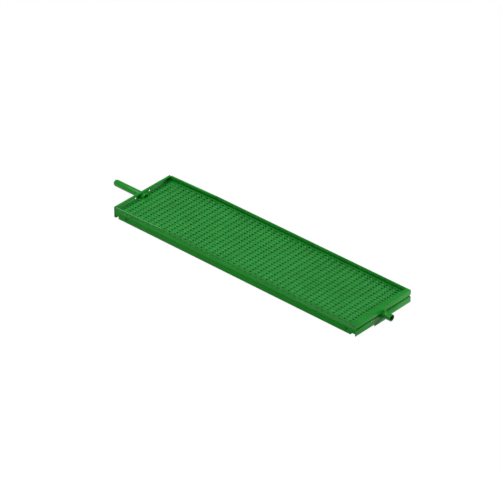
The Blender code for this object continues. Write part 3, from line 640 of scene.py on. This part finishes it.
# ---------------------------------------------------------------- dented tray sides
def dent_tree():
    """A row of dent shapes that follows the rim down the dip."""
    tree, inputs = new_tree("dent_row", {"Dent": "Object", "Pitch": "Float", "Rows": "Int",
                                         "First": "Vector", "Kink": "Float", "Fall": "Float",
                                         "Paint": "Material"})
    step = add_node(tree, "ShaderNodeCombineXYZ", None, {"X": inputs["Pitch"]})
    line = add_node(tree, "GeometryNodeMeshLine", None,
                    {"Count": inputs["Rows"], "Start Location": inputs["First"], "Offset": step.outputs[0]})
    place = add_node(tree, "GeometryNodeInputPosition")
    along = add_node(tree, "ShaderNodeSeparateXYZ", None, {0: place.outputs[0]})
    beyond = add_node(tree, "ShaderNodeMath", None, {0: inputs["Kink"], 1: along.outputs["X"]},
                      operation="SUBTRACT")
    inside = add_node(tree, "ShaderNodeMath", {1: 0.0}, {0: beyond.outputs[0]}, operation="MAXIMUM")
    drop = add_node(tree, "ShaderNodeMath", None, {0: inside.outputs[0], 1: inputs["Fall"]},
                    operation="MULTIPLY")
    down = add_node(tree, "ShaderNodeMath", {1: -1.0}, {0: drop.outputs[0]}, operation="MULTIPLY")
    shift = add_node(tree, "ShaderNodeCombineXYZ", None, {"Z": down.outputs[0]})
    dropped = add_node(tree, "GeometryNodeSetPosition", None,
                       {"Geometry": line.outputs[0], "Offset": shift.outputs[0]})
    dent = add_node(tree, "GeometryNodeObjectInfo", None, {"Object": inputs["Dent"]})
    copies = add_node(tree, "GeometryNodeInstanceOnPoints", None,
                      {"Points": dropped.outputs[0], "Instance": dent.outputs["Geometry"]})
    close_tree(tree, [copies.outputs[0]], inputs["Paint"])
    return tree


def dented_sides():
    """The tray sides with one dent beside every row of holes, and one past the last row headward.

    Each dent is cut into the outer face and stands out of the inner face as a lower bump.
    """
    work = bmesh.new()
    bmesh.ops.create_uvsphere(work, u_segments=DENT_SEGMENTS, v_segments=DENT_RINGS, radius=1.0)
    bmesh.ops.scale(work, vec=(DENT_LENGTH / 2.0, DENT_DEPTH, DENT_HEIGHT / 2.0), verts=work.verts)
    dent = link("dent_shape", mesh_of("dent_shape", work))
    tree = dent_tree()
    for side, outer in (("left", 0), ("right", 1)):
        node = "tray_side_" + side
        item = merged_copy(node, node + "_dented")
        for operation, face in (("UNION", 1 - outer), ("DIFFERENCE", outer)):
            shapes = link("dents_" + side, bpy.data.meshes.new("dents_" + side))
            row = shapes.modifiers.new("row", "NODES")
            row.node_group = tree
            first = (row_x(-ROWS_FOOTWARD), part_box(node)[face].y, RIM_TOP_Z - DENT_BELOW_RIM)
            for name, value in (("Dent", dent), ("Pitch", ROW_PITCH), ("First", first), ("Kink", KINK_X),
                                ("Rows", ROWS_FOOTWARD + ROWS_HEADWARD + 2), ("Fall", RUNOFF_FALL),
                                ("Paint", TRAY_PAINT)):
                set_input(row, name, value)
            settle(shapes)
            if operation == "UNION":
                for vertex in shapes.data.vertices:
                    vertex.co.y = first[1] + BUMP_SHARE * (vertex.co.y - first[1])
            press = item.modifiers.new("press", "BOOLEAN")
            press.operation = operation
            press.object = shapes
            press.solver = "EXACT"
            settle(item)
            bpy.data.objects.remove(shapes, do_unlink=True)
        stand_for(smooth(item), node)
    bpy.data.objects.remove(dent, do_unlink=True)


# ---------------------------------------------------------------- rounded pieces
FOLDED = ("foot_end_channel", "head_end_plate", "head_end_angle", "side_rail_left", "side_rail_right")
EDGED = ("tray_head_sheet", "rim_main_left", "rim_main_right", "rim_runoff_left", "rim_runoff_right",
         "foot_hub", "head_hub", "foot_tube", "head_tube", "foot_collar", "head_collar")


def rounded_pieces():
    """The folded and cut pieces with rounded edges, and the small ones with smooth round faces."""
    for node in FOLDED:
        rounded_piece(node, FOLD_RADIUS)
    for node in EDGED:
        rounded_piece(node, CUT_RADIUS)
    for node in sorted(SLOT_OF_NODE):
        if node.startswith(("frame_", "foot_bush", "head_bush", "bar_plug", "foot_grub", "head_grub")):
            stand_for(smooth(merged_copy(node, node + "_finished")), node)


def drawn_in_pan():
    """The pan with its hub slot drawn in to a slit, so that the floor's holes stay dark."""
    item = merged_copy("bottom_pan", "bottom_pan_finished")
    for vertex in item.data.vertices:
        if abs(vertex.co.y) < HUB_SLOT_Y:
            vertex.co.y *= PAN_SLIT_SHARE
    stand_for(smooth(item), "bottom_pan")


def paint_inner_pieces():
    """The bearers and brackets, which no other piece stands for, keep their shape and take paint."""
    for node, item in frame["nodes"].items():
        if not item.hide_render:
            item.data.materials.clear()
            item.data.materials.append(finish_of(node))


# ---------------------------------------------------------------- stage
def floor_and_light():
    """Pale floor and backdrop, an even glow, and three soft lamps: overhead, beside and low."""
    material, tree = new_material("pale_floor")
    path = add_node(tree, "ShaderNodeLightPath")
    seen = add_node(tree, "ShaderNodeMath", None,
                    {0: path.outputs["Is Camera Ray"], 1: path.outputs["Is Glossy Ray"]},
                    operation="MAXIMUM")
    clear = add_node(tree, "ShaderNodeMath", None,
                     {0: seen.outputs[0], 1: path.outputs["Is Transmission Ray"]}, operation="MAXIMUM")
    share = add_node(tree, "ShaderNodeMath", {1: GROUND_GLOW_SHARE}, {0: clear.outputs[0]},
                     operation="MULTIPLY")
    matt = add_node(tree, "ShaderNodeBsdfDiffuse", {"Color": GROUND_GREY})
    white = add_node(tree, "ShaderNodeEmission", {"Color": WHITE, "Strength": GROUND_GLOW})
    mix = add_node(tree, "ShaderNodeMixShader", None,
                   {0: share.outputs[0], 1: matt.outputs[0], 2: white.outputs[0]})
    add_node(tree, "ShaderNodeOutputMaterial", None, {"Surface": mix.outputs[0]})
    bpy.ops.mesh.primitive_plane_add(size=GROUND_SIZE, location=(0.0, 0.0, GROUND_Z))
    ground = bpy.context.object
    ground.name = "pale_floor"
    ground.data.materials.append(material)

    world = bpy.data.worlds.new("soft_studio")
    world.use_nodes = True
    sky = world.node_tree
    sky.nodes.clear()
    path = add_node(sky, "ShaderNodeLightPath")
    lit = add_node(sky, "ShaderNodeBackground", {"Color": WHITE, "Strength": SKY_LIGHT})
    shown = add_node(sky, "ShaderNodeBackground", {"Color": WHITE, "Strength": SKY_SHOWN})
    mix = add_node(sky, "ShaderNodeMixShader", None,
                   {0: path.outputs["Is Camera Ray"], 1: lit.outputs[0], 2: shown.outputs[0]})
    add_node(sky, "ShaderNodeOutputWorld", None, {"Surface": mix.outputs[0]})
    bpy.context.scene.world = world

    for name, size, energy, place in LAMPS:
        lamp = bpy.data.lights.new(name, "AREA")
        lamp.size = size
        lamp.energy = energy
        item = link(name, lamp)
        item.location = place
        item.rotation_euler = (-item.location).to_track_quat("-Z", "Y").to_euler()


def camera():
    """The view: a long lens above the left side of the head end."""
    forward = Vector((-math.sin(VIEW_AZIMUTH) * math.cos(VIEW_ELEVATION),
                      math.cos(VIEW_AZIMUTH) * math.cos(VIEW_ELEVATION), -math.sin(VIEW_ELEVATION)))
    right = Vector((math.cos(VIEW_AZIMUTH), math.sin(VIEW_AZIMUTH), 0.0))
    up = right.cross(forward)
    middle = Vector((MIDDLE_X, 0.0, (UNDERSIDE_Z + RIM_TOP_Z) / 2.0))
    data = bpy.data.cameras.new("view")
    data.lens = VIEW_LENS
    data.sensor_width = VIEW_SENSOR
    data.clip_end = VIEW_FAR
    item = link("view", data)
    item.location = middle + AIM_RIGHT * right + AIM_UP * up - VIEW_DISTANCE * forward
    item.rotation_euler = forward.to_track_quat("-Z", "Y").to_euler()
    bpy.context.scene.camera = item


camera()
rounded_pieces()
dented_sides()
pressed_floor()
drawn_in_pan()
paint_inner_pieces()
floor_and_light()
bpy.context.scene.view_settings.view_transform = "Standard"
